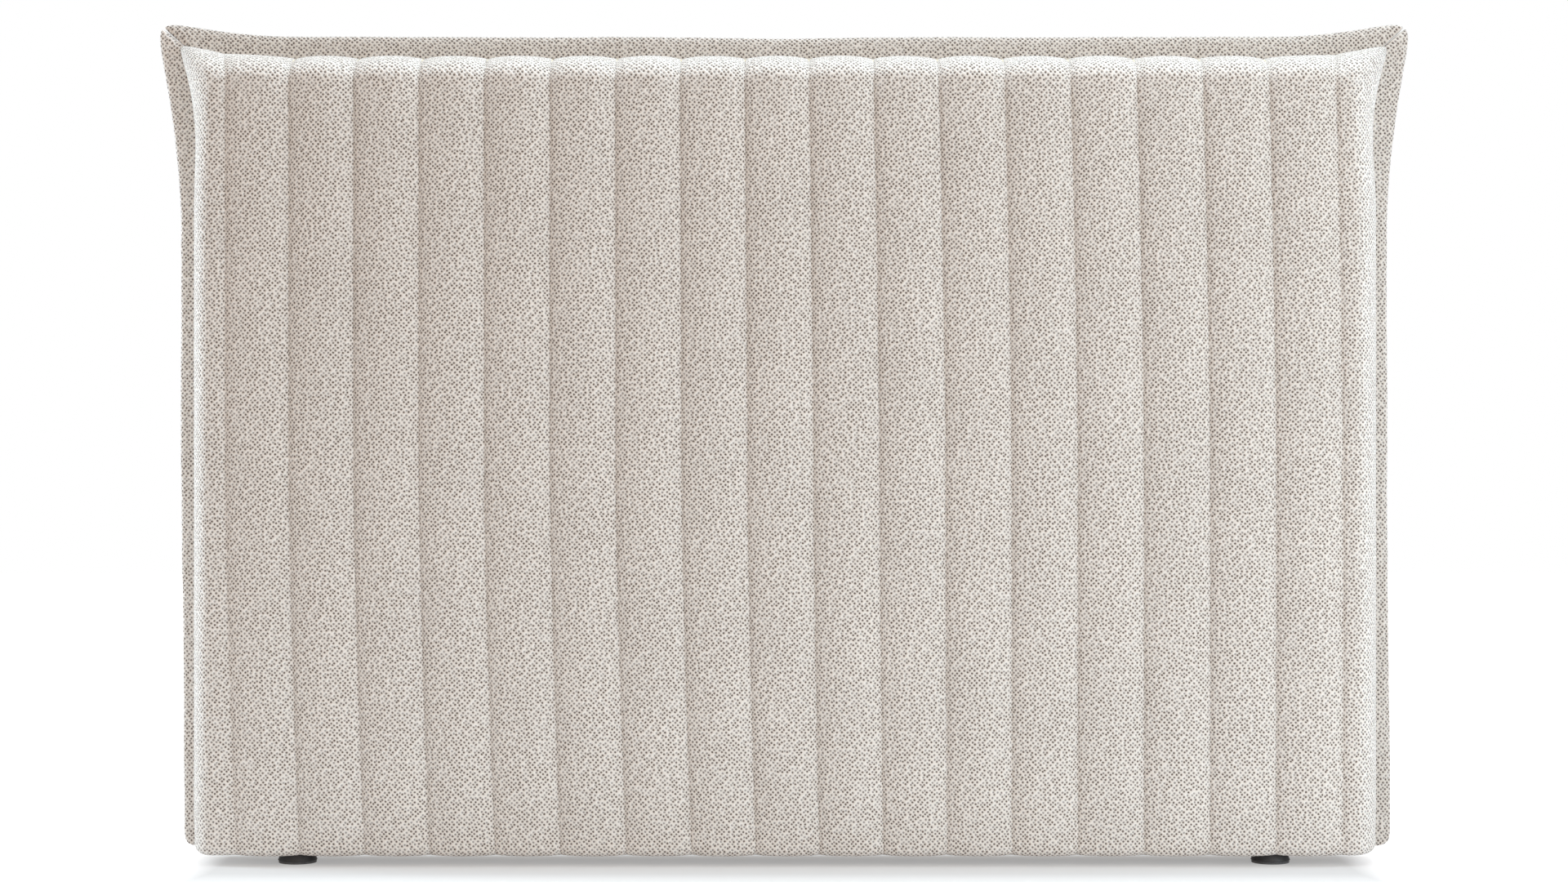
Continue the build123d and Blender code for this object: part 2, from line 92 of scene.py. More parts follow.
def grid_piece(name, grid, wrap=False, seams=None):
    """A mesh over a rows × columns × 3 array, with its cloth map in metres. With wrap the columns close.

    Between the two columns in seams all rows share their widths, and outside them each row has its own.
    """
    rows, columns = grid.shape[:2]
    closed = np.concatenate([grid, grid[:, :1]], axis=1) if wrap else grid
    steps = np.linalg.norm(np.diff(closed, axis=1), axis=2)
    first, last = seams or (0, steps.shape[1])
    widths = steps.copy()
    widths[:, first:last] = steps[:, first:last].mean(axis=0)
    u = np.pad(np.cumsum(widths, axis=1), ((0, 0), (1, 0)))
    u -= u[:, first:first + 1]
    v = np.pad(np.cumsum(np.linalg.norm(np.diff(grid, axis=0), axis=2).mean(axis=1)), (1, 0))
    faces = []
    cloth = []
    for r in range(rows - 1):
        for c in range(closed.shape[1] - 1):
            right = (c + 1) % columns
            a, b = r * columns + c, r * columns + right
            faces.append((a, b, b + columns, a + columns))
            low, high = u[r], u[r + 1]
            cloth += [(low[c], v[r]), (low[c + 1], v[r]), (high[c + 1], v[r + 1]), (high[c], v[r + 1])]
    piece = new_piece(name, grid.reshape(-1, 3), faces)
    piece.data.uv_layers.new(name="cloth").data.foreach_set("uv", np.array(cloth).ravel())
    return piece


def flat_cloth_map(piece, upright):
    """A cloth map for a flat strip: across and up, and onwards round the rims of its long sides."""
    cloth = piece.data.uv_layers["cloth"].data
    for loop in piece.data.loops:
        x, y, z = piece.data.vertices[loop.vertex_index].co
        cloth[loop.index].uv = (x + math.copysign(y, x), z) if upright else (x, z + y)


def close_up(piece, fill_ends=True):
    """Fills a grid's open ends, joins the points that coincide and points every face outwards."""
    mesh = bmesh.new()
    mesh.from_mesh(piece.data)
    if fill_ends:
        bmesh.ops.holes_fill(mesh, edges=mesh.edges, sides=0)
    bmesh.ops.remove_doubles(mesh, verts=mesh.verts, dist=1e-5)
    bmesh.ops.recalc_face_normals(mesh, faces=mesh.faces)
    mesh.to_mesh(piece.data)
    mesh.free()


def modify(piece, kind, **settings):
    """Adds a modifier, applies it at once and leaves plain mesh behind."""
    modifier = piece.modifiers.new(kind.lower(), kind)
    for name, value in settings.items():
        setattr(modifier, name, value)
    graph = bpy.context.evaluated_depsgraph_get()
    mesh = bpy.data.meshes.new_from_object(piece.evaluated_get(graph))
    piece.modifiers.remove(modifier)
    piece.data = mesh


def stands_for(piece, node, body="headboard"):
    """Says which body a piece rides on, and hides the CAD node it takes the place of."""
    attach(piece, body)
    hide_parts(node)


def circle_angles(count):
    """Angles spaced evenly round a circle."""
    return np.linspace(0, 2 * math.pi, count, endpoint=False)


def boxy(turns, power):
    """Cosine and sine of angles, pushed out from a circle towards a box by a power below 1."""
    return [np.sign(part) * np.abs(part) ** power for part in (np.cos(turns), np.sin(turns))]


def wave(t, seed, turns=(1.0, 2.3, 4.1, 7.7)):
    """A smooth, repeatable wobble between about -1 and 1, without any random numbers."""
    total = 0
    for k, turn in enumerate(turns):
        total = total + np.sin(t * turn + seed * (2.7 + 1.9 * k)) / (1 + k)
    return total / 1.6


print("helpers ready")

# %% [markdown]
# ## Shader groups
# Cover, flange and fold-over are one cloth, and both lots of timber one wood, so what they share is built
# once as a node group. A group only puts out colours, masks and heights. The Principled shader stays in each
# material, with its plain numbers set on its own sockets.

# %% Node helpers


def linear(red, green, blue):
    """An 8-bit screen colour as the linear colour that shaders use."""
    channels = [c / 255 for c in (red, green, blue)]
    return tuple(c / 12.92 if c <= 0.04045 else ((c + 0.055) / 1.055) ** 2.4 for c in channels) + (1.0,)


def new_group(name, inputs, outputs):
    """A shader node group with named sockets, and its input and output nodes."""
    group = bpy.data.node_groups.new(name, "ShaderNodeTree")
    for label, kind, default in inputs:
        socket = group.interface.new_socket(name=label, in_out="INPUT", socket_type="NodeSocket" + kind)
        socket.default_value = default
    for label, kind in outputs:
        group.interface.new_socket(name=label, in_out="OUTPUT", socket_type="NodeSocket" + kind)
    return group, group.nodes.new("NodeGroupInput"), group.nodes.new("NodeGroupOutput")


class Tree:
    """Short calls for adding and joining nodes."""

    def __init__(self, tree):
        self.tree = tree

    def node(self, kind, settings=None, **inputs):
        made = self.tree.nodes.new("ShaderNode" + kind)
        for name, value in (settings or {}).items():
            setattr(made, name, value)
        self.feed(made, **inputs)
        return made

    def feed(self, node, **inputs):
        """Sets or joins inputs by number, or by name with _ for a space."""
        for name, value in inputs.items():
            socket = node.inputs[int(name) if name.isdigit() else name.replace("_", " ")]
            if hasattr(value, "is_output"):
                self.tree.links.new(value, socket)
            else:
                socket.default_value = value

    def math(self, operation, a, b=0.0):
        return self.node("Math", {"operation": operation}, **{"0": a, "1": b}).outputs[0]

    def vector(self, operation, a, b):
        second = "Scale" if operation == "SCALE" else "1"
        return self.node("VectorMath", {"operation": operation}, **{"0": a, second: b}).outputs[0]

    def noise(self, place, scale, detail, **inputs):
        return self.node("TexNoise", Vector=place, Scale=scale, Detail=detail, **inputs).outputs[0]

    def relief(self, shader, height, strength, depth):
        bump = self.node("Bump", Height=height, Strength=strength, Distance=depth)
        self.feed(shader, Normal=bump.outputs[0])

    def mix(self, factor, a, b):
        return self.node("Mix", {"data_type": "RGBA"}, **{"0": factor, "6": a, "7": b}).outputs[2]

    def map(self, value, low, high, to_low=0.0, to_high=1.0):
        made = self.node("MapRange", Value=value, From_Min=low, From_Max=high, To_Min=to_low, To_Max=to_high)
        return made.outputs[0]


print("node helpers ready")

# %% [markdown]
# ### Nubby weave
# Chenille bouclé is a loose weave of thick, fluffy yarn. Its yarns lean at 45 degrees and leave small dark
# pits between them, in nearly regular rows. A Voronoi texture with little randomness gives nearly regular
# cells and the distance from each cell's centre, so each centre becomes a pit and what lies between them is
# yarn. It is flat, and reads each piece's cloth map, so the pits keep their size and follow the cloth over
# every curve, as a printed grid on the real cloth would.

# %% Nubby weave


def nubby_weave():
    """How high the yarn stands, a random tone for each nub, and a soft change over a hand's breadth."""
    group, given, made = new_group(
        "nubby_weave",
        [("Nub Size", "Float", 0.0048), ("Fuzz", "Float", 0.5)],
        [("Nub", "Float"), ("Yarn", "Float"), ("Cloud", "Float")],
    )
    t = Tree(group)
    place = t.node("TexCoord").outputs["UV"]
    bend = t.node("TexNoise", Vector=place, Scale=110.0, Detail=2.0).outputs["Color"]
    bend = t.vector("SCALE", t.vector("SUBTRACT", bend, (0.5, 0.5, 0.5)), 0.0014)
    bent = t.vector("ADD", place, bend)
    leaning = t.node("Mapping", Vector=bent, Rotation=(0, 0, math.radians(45))).outputs[0]
    scale = t.math("DIVIDE", 1.0, given.outputs["Nub Size"])
    flat = {"feature": "F1", "voronoi_dimensions": "2D"}
    cells = t.node("TexVoronoi", flat, Vector=leaning, Scale=scale, Randomness=0.40)
    fuzz = t.noise(place, t.math("DIVIDE", 2.6, given.outputs["Nub Size"]), 3.0)
    fuzz = t.math("MULTIPLY", t.math("SUBTRACT", fuzz, 0.5), given.outputs["Fuzz"])
    nub = t.math("ADD", t.map(cells.outputs["Distance"], 0.16, 0.56), fuzz)
    yarn = t.node("SeparateColor", Color=cells.outputs["Color"]).outputs[0]
    t.feed(made, Nub=nub, Yarn=yarn, Cloud=t.noise(place, 9.0, 3.0))
    return group


weave_group = nubby_weave()
print("weave group:", [s.name for s in weave_group.interface.items_tree])

# %% [markdown]
# ### Cloth material
# The photo shows off-white nubs, taupe gaps between them, and a soft cloudy change over a hand's breadth. The
# gaps' colour is partly the cloth's own taupe and partly painted shade in the pits. The nub mask mixes the
# two colours, the yarn mask lightens or darkens whole nubs, and the same height drives a Bump node. Sheen
# stands for the fuzz that catches light at a grazing angle. The top and right flange strips get the same
# recipe with darker
# tones: a shaded copy of the cloth, which is painted shade.

# %% Cloth material


def new_material(name):
    """An empty material with one Principled shader, its tree helper and the shader."""
    material = bpy.data.materials.new(name)
    material.use_nodes = True
    return material, Tree(material.node_tree), material.node_tree.nodes["Principled BSDF"]


def chenille(name, gap_and_shade, nub, bright):
    """Nubby cloth in three tones: the specks between the nubs, partly painted shade, the nubs and the
    lightest of them.
    """
    material, t, shader = new_material(name)
    weave = t.node("Group", {"node_tree": weave_group})
    # The specks' colour is partly the cloth's own and partly painted shade in the pits between the nubs.
    cloth = t.mix(t.map(weave.outputs["Nub"], 0.0, 0.62), linear(*gap_and_shade), linear(*nub))
    cloth = t.mix(t.map(weave.outputs["Yarn"], 0.3, 1.0, 0.0, 0.35), cloth, linear(*bright))
    cloudy = t.map(weave.outputs["Cloud"], 0.3, 0.7, 0.97, 1.02)
    t.feed(shader, Base_Color=t.vector("SCALE", cloth, cloudy))
    t.relief(shader, weave.outputs["Nub"], 0.8, 0.0014)
    t.feed(shader, Roughness=0.95, Specular_IOR_Level=0.12, Sheen_Weight=0.35, Sheen_Roughness=0.6)
    return material


cover_cloth = chenille("cream_chenille", (98, 85, 75), (240, 233, 226), (254, 252, 249))
# A darker copy of the same cloth for the top and right flange strips: painted shade.
shaded_cloth = chenille("cream_chenille_painted_shade", (88, 76, 67), (226, 218, 210), (242, 238, 233))
print("materials:", cover_cloth.name, shaded_cloth.name)

# %% [markdown]
# ## The quilted cover
# The cushion is a slab whose front edge is rounded over the sides and, more widely, over the top, and whose
# upper corners pinch out into small ears where the cover is sewn to the flange. Every point of the grid gets
# two angles: how far it has turned over the side, and how far over the top. Together they give its depth. The
# seams lean a little and bow, as they do when cloth is pulled over foam by hand.

# %% Sizes of the cushion
flange_low, flange_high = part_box("left_flange")
board_low, board_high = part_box("face_board")
channel_count = 17
channel_width = 0.090
channel_crown = 0.009
puff = 1.18
border_width = 0.048
half_width = channel_count * channel_width / 2 + border_width
full_reach = {-1: 0.0045, 1: 0.0085}
cushion_low = 0.014
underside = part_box("left_glide")[1].z
cushion_height = 1.100
cushion_top = cushion_low + cushion_height
seam_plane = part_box("quilted_cover")[0].y + channel_crown
flange_plane = flange_low.y
shoulder_depth = flange_plane - seam_plane
top_rise = 0.036
side_rise = {-1: 0.031, 1: 0.040}
undercut = 0.004
hem_radius = 0.010
fade_height = 0.050
ear_out = 0.032
ear_up = 0.022
ear_side_run = 0.144
ear_top_run = 0.120
print("cushion", 2 * half_width, "by", cushion_height, "shoulder depth", shoulder_depth)

# %% Columns and rows
late_turns = [38, 44, 50, 56, 62, 68, 74, 79, 83, 86, 88, 90]
side_turns = np.radians([4, 9, 14, 20, 26, 32] + late_turns)
top_turns = np.radians([4, 8, 12, 17, 22, 27, 32] + late_turns)
hem_turns = np.radians([-90, -78, -66, -54, -42, -30, -18, -8])
face_rows = 168
steps_across = 14
border_flats = 4
under_rows = 6
closeness = 0.5 - 0.5 * np.cos(np.pi * np.arange(steps_across) / steps_across)
channel_marks = (np.arange(channel_count)[:, None] + closeness[None, :]).ravel()
channel_marks = np.append(channel_marks, channel_count)
face_low = cushion_low + hem_radius
face_top = cushion_top - top_rise
print("columns over the channels:", len(channel_marks), "rows up the face:", face_rows)

# %% Seam lines
seam_bow = 0.0056
lean_at_top = 0.0095
lean_at_hem = 0.0145


def smooth_share(value, low, high):
    """0 below low, 1 above high, and a smooth rise between."""
    share = np.clip((value - low) / (high - low), 0, 1)
    return share * share * (3 - 2 * share)


def seam_x(mark, z):
    """Where the cloth that was at a channel mark lies across the face, at height z."""
    share = mark / channel_count
    middle = (face_low + face_top) / 2
    above = np.clip((z - middle) / (face_top - middle), 0, 1)
    below = np.clip((middle - z) / (middle - face_low), 0, 1)
    bow = -seam_bow * np.sin(np.pi * share**0.6)
    up = -lean_at_top * smooth_share(share, 0.3, 0.7) * above**1.4
    down = lean_at_hem * (1 - smooth_share(share, 0.35, 0.75)) * below**1.4
    return (mark - channel_count / 2) * channel_width + bow + up + down


print("outer seams at mid height:", seam_x(np.array([0.0, channel_count]), 0.55))

# %% The plain cushion
full_turn = math.radians(90)
reach_fade_start, reach_fade_end = 0.22, 0.04
under_pinch = 0.03
tuck_depth = 0.013
lip_depth = 0.009


def over_both(side_turn, top_turn):
    """One angle for a point that has turned over the side by one angle and over the top by another."""
    return min(full_turn, (side_turn**3 + top_turn**3) ** (1 / 3))


def cushion_grid():
    """Points of the cushion before its channels swell, with each row's and column's marks."""
    rows = [("under", share) for share in np.linspace(1, 0.12, under_rows)]
    rows += [("hem", turn) for turn in hem_turns]
    rows += [("face", z) for z in np.linspace(face_low, face_top, face_rows)]
    rows += [("top", turn) for turn in top_turns]
    rows.append(("lip", full_turn))
    flats = np.linspace(0, 1, border_flats + 1)[1:]
    right = [("flat", 1, share) for share in flats]
    right += [("side", 1, turn) for turn in side_turns] + [("lip", 1, full_turn)]
    left = [(kind, -1, value) for kind, _, value in right[::-1]]
    columns = left + [("channel", 0, mark) for mark in channel_marks] + right
    grid = np.zeros((len(rows), len(columns), 3))
    for r, (row_kind, row_value) in enumerate(rows):
        top_turn = 0.0
        inset = 0.0
        if row_kind == "face":
            z = row_value
        elif row_kind == "hem":
            z = cushion_low + hem_radius * (1 + math.sin(row_value))
            inset = hem_radius * (1 - math.cos(row_value))
        elif row_kind == "under":
            z = underside
            inset = hem_radius
        else:
            top_turn = row_value
            z = cushion_top - top_rise * (1 - math.sin(top_turn))
        face_z = min(max(z, face_low), face_top)
        fuller = 1 - float(smooth_share(z, cushion_top - reach_fade_start, cushion_top - reach_fade_end))
        for c, (kind, side, value) in enumerate(columns):
            side_turn = value if kind in ("side", "lip") else 0.0
            rise = side_rise[side or 1]
            half = half_width + full_reach.get(side, 0.0) * fuller
            if kind == "channel":
                x = seam_x(value, face_z)
            elif kind == "flat":
                outer = seam_x(0.0 if side < 0 else float(channel_count), face_z)
                x = outer + (side * (half - rise) - outer) * value
            else:
                x = side * (half - rise * (1 - math.sin(side_turn)))
            turn = over_both(side_turn, top_turn)
            y = flange_plane - shoulder_depth * math.cos(turn)
            out = Vector((side * math.sin(side_turn) / rise, -math.cos(side_turn) / shoulder_depth))
            out.normalize()
            x -= out.x * inset
            y -= out.y * inset
            if row_kind == "under":
                y += (flange_plane - y) * row_value
                x -= side * under_pinch * math.sin(side_turn) * row_value
            z_out = z
            if row_kind in ("top", "lip", "face"):
                grown = math.sin(turn) ** 2
                near_top = max(0.0, 1 - (cushion_top - z) / ear_side_run)
                near_side = max(0.0, 1 - (half_width - abs(x)) / ear_top_run)
                x += math.copysign(ear_out * grown * near_top**2 * near_side**1.5, x)
                z_out += ear_up * grown * near_side**2 * near_top**1.5
            tucked = undercut * float(smooth_share(y, flange_plane - tuck_depth, flange_plane))
            if kind in ("side", "lip"):
                x -= side * (tucked + lip_depth * (kind == "lip"))
            if row_kind in ("top", "lip"):
                z_out -= tucked + lip_depth * (row_kind == "lip")
            grid[r, c] = (x, y, z_out)
    return grid, rows, columns


plain_grid, row_marks, column_marks = cushion_grid()
print("plain cushion grid", plain_grid.shape)

# %% [markdown]
# ## Swelling the channels
# Each channel is a tube of wadding between two lines of stitching, so its section is round and steep at the
# seams and flatter in the middle. The swelling moves each point along the surface's own normal, which carries
# the channels over the top by itself. It fades towards the hem, where the cover is pulled tight, and small
# puckers run out from each line of stitching.

# %% Swell the channels
border_swell = 0.0046
border_start = 0.015
pucker_depth = 0.0005
pucker_reach = 0.011
crease_depth = 0.0016
crease_reach = 0.0014


def grid_normals(grid):
    """The outward normal at each point of a grid, from its neighbours."""
    along = np.gradient(grid, axis=1)
    up = np.gradient(grid, axis=0)
    normals = np.cross(along, up)
    lengths = np.linalg.norm(normals, axis=2, keepdims=True)
    return normals / np.maximum(lengths, 1e-12)


def crown_share(row_kind, value):
    """How full the channels are at a row."""
    if row_kind == "face":
        return 0.61 + 0.39 * float(smooth_share(value, face_low, face_low + fade_height))
    if row_kind == "hem":
        return 0.12 + 0.45 * (1 + value / full_turn)
    if row_kind == "under":
        return 0.1 * (1 - value)
    if row_kind == "top":
        return 0.13 + 0.87 * math.cos(value) ** 1.1
    return 0.0


def swollen(grid, rows, columns):
    """The grid with its channels, borders, puckers and seam creases."""
    normals = grid_normals(grid)
    result = grid.copy()
    for r, (row_kind, row_value) in enumerate(rows):
        share = crown_share(row_kind, row_value)
        for c, (kind, side, value) in enumerate(columns):
            run = grid[r, c, 2] - grid[r, c, 1]
            seam = 0 if side < 0 else channel_count
            if kind == "channel":
                index = min(int(value), channel_count - 1)
                w = value - index
                from_seam = min(w, 1 - w) * channel_width
                seam = index if w < 0.5 else index + 1
                full = 1 + 0.05 * wave(run * 9, index)
                swell = channel_crown * puff * full * (1 - abs(2 * w - 1) ** 2.2) ** 0.82
            elif kind == "flat":
                from_seam = value * border_start
                swell = border_swell * math.sin(0.5 * math.pi * (0.1 + 0.9 * value) ** 0.6)
            elif kind == "side":
                from_seam = border_start + shoulder_depth * (1 - math.cos(value))
                swell = border_swell * math.cos(value) ** 0.8
            else:
                continue
            near = math.exp(-((from_seam / pucker_reach) ** 2)) * min(1, from_seam / 0.002)
            pucker = pucker_depth * near * wave(run * 95 + 0.7 * seam, seam + 0.5)
            strength = 0.3 if seam in (0, channel_count) else 1.0
            crease = crease_depth * strength * math.exp(-((from_seam / crease_reach) ** 2))
            result[r, c] += normals[r, c] * (swell * share + (pucker - crease) * min(1, 2 * share))
    return result


cover_grid = swollen(plain_grid, row_marks, column_marks)
first_seam = len(side_turns) + border_flats + 1
outer_seams = (first_seam, first_seam + len(channel_marks) - 1)
quilted_cover = grid_piece("cover_channels", cover_grid, seams=outer_seams)
modify(quilted_cover, "SUBSURF", levels=1, render_levels=1)


def cut_round(piece, spot, radius):
    """A round hole in the flat underside of a piece, as the upholsterer cuts the cover round a foot's nut."""
    mesh = bmesh.new()
    mesh.from_mesh(piece.data)
    same_plane, pulled_reach = 0.0025, 0.014

    def away(vert):
        in_plane = abs(vert.co.z - underside) < same_plane
        return math.hypot(vert.co.x - spot.x, vert.co.y - spot.y) if in_plane else math.inf

    inside = [vert for vert in mesh.verts if away(vert) < radius]
    cut = {face for vert in inside for face in vert.link_faces if all(away(v) < math.inf for v in face.verts)}
    bmesh.ops.delete(mesh, geom=list(cut), context="FACES")
    for vert in mesh.verts:
        if vert.is_boundary and away(vert) < radius + pulled_reach:
            vert.co.xy = spot.xy + (vert.co.xy - spot.xy) * (radius / away(vert))
    mesh.to_mesh(piece.data)
    mesh.free()
    return len(cut)


foot_hole_radius = 0.0115
for side in ("left", "right"):
    foot_low, foot_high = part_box(side + "_foot")
    foot_spot = (foot_low + foot_high) / 2
    print(side, "foot's hole, faces cut:", cut_round(quilted_cover, foot_spot, foot_hole_radius))
quilted_cover.data.materials.append(cover_cloth)
stands_for(quilted_cover, "quilted_cover")
print("cover points:", len(quilted_cover.data.vertices), "front at", cover_grid[:, :, 1].min())

# %% [markdown]
# ## The flange
# The flange is a flat border of two layers of cloth with thin wadding between. It runs up one side, across
# the top and down the other, and its upper corners flare out like the corners of a pillow. Its outer edge is
# drawn once as a row of points, softened at the corners, and split at the tips into the three strips that are
# sewn together there on a diagonal.

# %% Outline of the flange
flange_width = 0.030
flange_ear_out = 0.036
flange_ear_up = 0.027
frame_half = board_high.x
frame_low = board_low.z
frame_top = board_high.z
tip_x = half_width + flange_width + flange_ear_out
tip_z = cushion_top + flange_width + flange_ear_up
flange_foot = flange_low.z
flange_side_run = ear_side_run + 0.090
slack_depth, slack_middle, slack_reach = 0.0035, -0.07, 0.17
top_fullness = 0.003
drift, drift_height, drift_run = 0.0045, 0.60, 0.55


def flange_side(z):
    """The flange's outer edge beside the cushion: straight, then bending out to the tip."""
    bend = cushion_top - flange_side_run
    share = np.clip((z - bend) / (tip_z - bend), 0, 1)
    return half_width + flange_width + flange_ear_out * share**1.6 + 0.0007 * wave(z * 11, 5)


def flange_top(x):
    """The flange's outer edge above the cushion: nearly straight, a little slack in the middle, then up."""
    bend = half_width - ear_top_run
    share = np.clip((np.abs(x) - bend) / (tip_x - bend), 0, 1)
    slack = slack_depth * np.exp(-(((x - slack_middle) / slack_reach) ** 2))
    firm = cushion_top + flange_width + top_fullness - slack + 0.0006 * wave(x * 13, 7)
    return firm + (flange_ear_up - top_fullness) * share**1.6


def softened(points, rounds, first, last):
    """Rounds corners by drawing each point towards its neighbours."""
    points = points.copy()
    for _ in range(rounds):
        middle = (points[first - 1:last - 1] + points[first + 1:last + 1]) / 2
        points[first:last] += 0.5 * (middle - points[first:last])
    return points


def right_half_outline():
    """From the foot of the right side, up over the tip, to the middle of the top."""
    spacing = 0.005
    heel_x = np.arange(frame_half, half_width + flange_width, spacing)
    heel = np.column_stack([heel_x, np.full(len(heel_x), flange_foot)])
    z = np.arange(flange_foot, tip_z, spacing)
    side = np.column_stack([flange_side(z), z])
    x = np.arange(tip_x, 0, -spacing)
    top = np.column_stack([x, flange_top(x)])
    points = np.vstack([heel, side, top])
    tip = len(heel) + len(side)
    points = softened(points, 14, 1, tip - 40)
    points = softened(points, 46, tip - 40, tip + 40)
    return points, tip


def drifted(edge):
    """The edge with its lower part drawn a little to the right, as the cover is pulled on the real piece."""
    moved = edge.copy()
    outside = np.abs(edge[:, 0]) > frame_half
    moved[:, 0] += drift * smooth_share(drift_height - edge[:, 1], 0.0, drift_run) * outside
    return moved


outline, tip_index = right_half_outline()
print("flange outline points:", len(outline), "tip at", outline[tip_index])

# %% Flange strips
flange_thickness = flange_high.y - flange_low.y
flange_middle = (flange_high.y + flange_low.y) / 2


def flange_strip(name, edge, seed):
    """A padded strip between the frame's edge and a stretch of the outer edge."""
    angles = circle_angles(36)
    share = 0.5 + 0.5 * boxy(angles, 0.6)[0]
    thick = boxy(angles, 0.45)[1]
    grid = np.zeros((len(edge), len(angles), 3))
    for r, (x, z) in enumerate(edge):
        inner = np.clip((x, z), (-frame_half, frame_low), (frame_half, frame_top))
        reach = (x, z) - inner
        place = inner + reach * share[:, None]
        tip = np.array([math.copysign(tip_x, x), tip_z])
        start = np.array([math.copysign(frame_half, x), frame_top])
        along = (tip - start) / np.linalg.norm(tip - start)
        offset = place - start
        from_mitre = np.abs(offset[:, 0] * along[1] - offset[:, 1] * along[0])
        beyond = (place[:, 1] > frame_top) & (np.abs(place[:, 0]) > frame_half)
        pinch = np.where(beyond, 1 - 0.32 * np.exp(-((from_mitre / 0.0045) ** 2)), 1.0)
        run = x * 7 + z * 9
        full = (1 + 0.06 * wave(run * 1.7, seed)) * min(1, np.linalg.norm(reach) / 0.02)
        grid[r, :, 0] = place[:, 0]
        grid[r, :, 2] = place[:, 1]
        grid[r, :, 1] = flange_middle + thick * flange_thickness / 2 * full * pinch
        grid[r, :, 1] += 0.0009 * share * wave(run * 2.3, seed + 3)
    piece = grid_piece(name, grid, wrap=True)
    close_up(piece)
    flat_cloth_map(piece, upright=not name.startswith("top"))
    for polygon in piece.data.polygons:
        polygon.use_smooth = True
    return piece


mirror = np.array([-1.0, 1.0])
right_edge = outline[:tip_index + 1]
left_edge = right_edge * mirror
top_edge = np.vstack([outline[tip_index:], (outline[tip_index:] * mirror)[::-1]])
strips = (("right_flange", right_edge, 1), ("left_flange", left_edge, 2), ("top_flange", top_edge, 3))
for name, edge, seed in strips:
    strip = flange_strip(name + "_strip", drifted(edge), seed)
    modify(strip, "SUBSURF", levels=1, render_levels=1)
    # The top and right strips take the darker copy of the cloth, which is painted shade.
    strip.data.materials.append(cover_cloth if name == "left_flange" else shaded_cloth)
    stands_for(strip, name)
    print(strip.name, "points:", len(strip.data.vertices))

# %% [markdown]
# ## Foam inside the cover
# Upholsterers glue a sheet of foam to the board and strips beside and above the frame, then trim the edges
# round. All four pieces fill the space between the frame and the cover, so one function gives the cover's
# inner face at any width and height, and each piece is a slab between that face and what it is glued to.

# %% Foam
foam_skin = 0.0031
foam_rise = 0.033
foam_least = 0.002


def inner_face(x, z):
    """How far forward the foam may reach under the cover, at a width and a height."""
    top_turn = math.asin(min(1.0, max(0.0, 1 - (cushion_top - z) / top_rise)))
    side_turn = math.asin(min(1.0, max(0.0, 1 - (half_width - abs(x)) / foam_rise)))
    y = flange_plane - shoulder_depth * math.cos(over_both(side_turn, top_turn))
    low = min(1.0, max(0.0, 1 - (z - cushion_low) / hem_radius))
    return y + hem_radius * (1 - math.sqrt(1 - low**2)) + foam_skin


def rim(grid):
    """The points round the edge of a grid, as one row."""
    return np.concatenate([grid[0], grid[1:, -1], grid[-1, -2::-1], grid[-2:0:-1, 0]])


def foam_slab(name, node, wide, high):
    """A closed slab that fills a CAD foam's box and follows the cover's inner face."""
    low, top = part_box(node)
    xs = np.linspace(low.x, top.x, wide)
    zs = np.linspace(low.z, top.z, high)
    deepest = top.y - foam_least
    front = np.array([[(x, min(max(low.y, inner_face(x, z)), deepest), z) for x in xs] for z in zs])
    back = front.copy()
    back[:, :, 1] = top.y
    walls = np.stack([rim(front), rim(back)])
    piece = grid_piece(name, front)
    for part in (grid_piece("wall", walls, wrap=True), grid_piece("back", back[:, ::-1])):
        joined = bmesh.new()
        joined.from_mesh(piece.data)
        joined.from_mesh(part.data)
        joined.to_mesh(piece.data)
        joined.free()
        bpy.data.objects.remove(part)
    close_up(piece, fill_ends=False)
    stands_for(piece, node)
    return piece


foam_pieces = [
    foam_slab("foam_sheet", "front_foam", 60, 60),
    foam_slab("left_foam_strip", "left_side_foam", 5, 60),
    foam_slab("right_foam_strip", "right_side_foam", 5, 60),
    foam_slab("top_foam_strip", "top_foam", 60, 5),
]
print("foam pieces:", [piece.name for piece in foam_pieces])

# %% [markdown]
# ## Fold-overs on the back
# The cover's margins go round the frame's back edge, lie flat for 50 mm and are stapled. Each is a thin sheet
# that follows one bent profile along one side of the frame, with its ends cut at 45 degrees so that two
# neighbours meet without a lump. The cut inner edge is a little uneven, as scissors leave it.

# %% Fold-overs
back_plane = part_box("left_turnover")[1].y
flat_plane = back_plane - 0.0006
fold_width = 0.0525
bend_plane = back_plane - 0.0005
side_fold = ((0.0012, 0.0488), (0.0005, 0.0505), (0.0008, 0.0525), (0.0024, bend_plane))
hem_fold = ((0.0010, 0.0372), (0.0008, 0.0440), (0.0008, 0.0500), (0.0014, 0.0522), (0.0030, bend_plane))
fold_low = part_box("right_turnover")[0].z
fold_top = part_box("right_turnover")[1].z
fold_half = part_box("right_turnover")[1].x


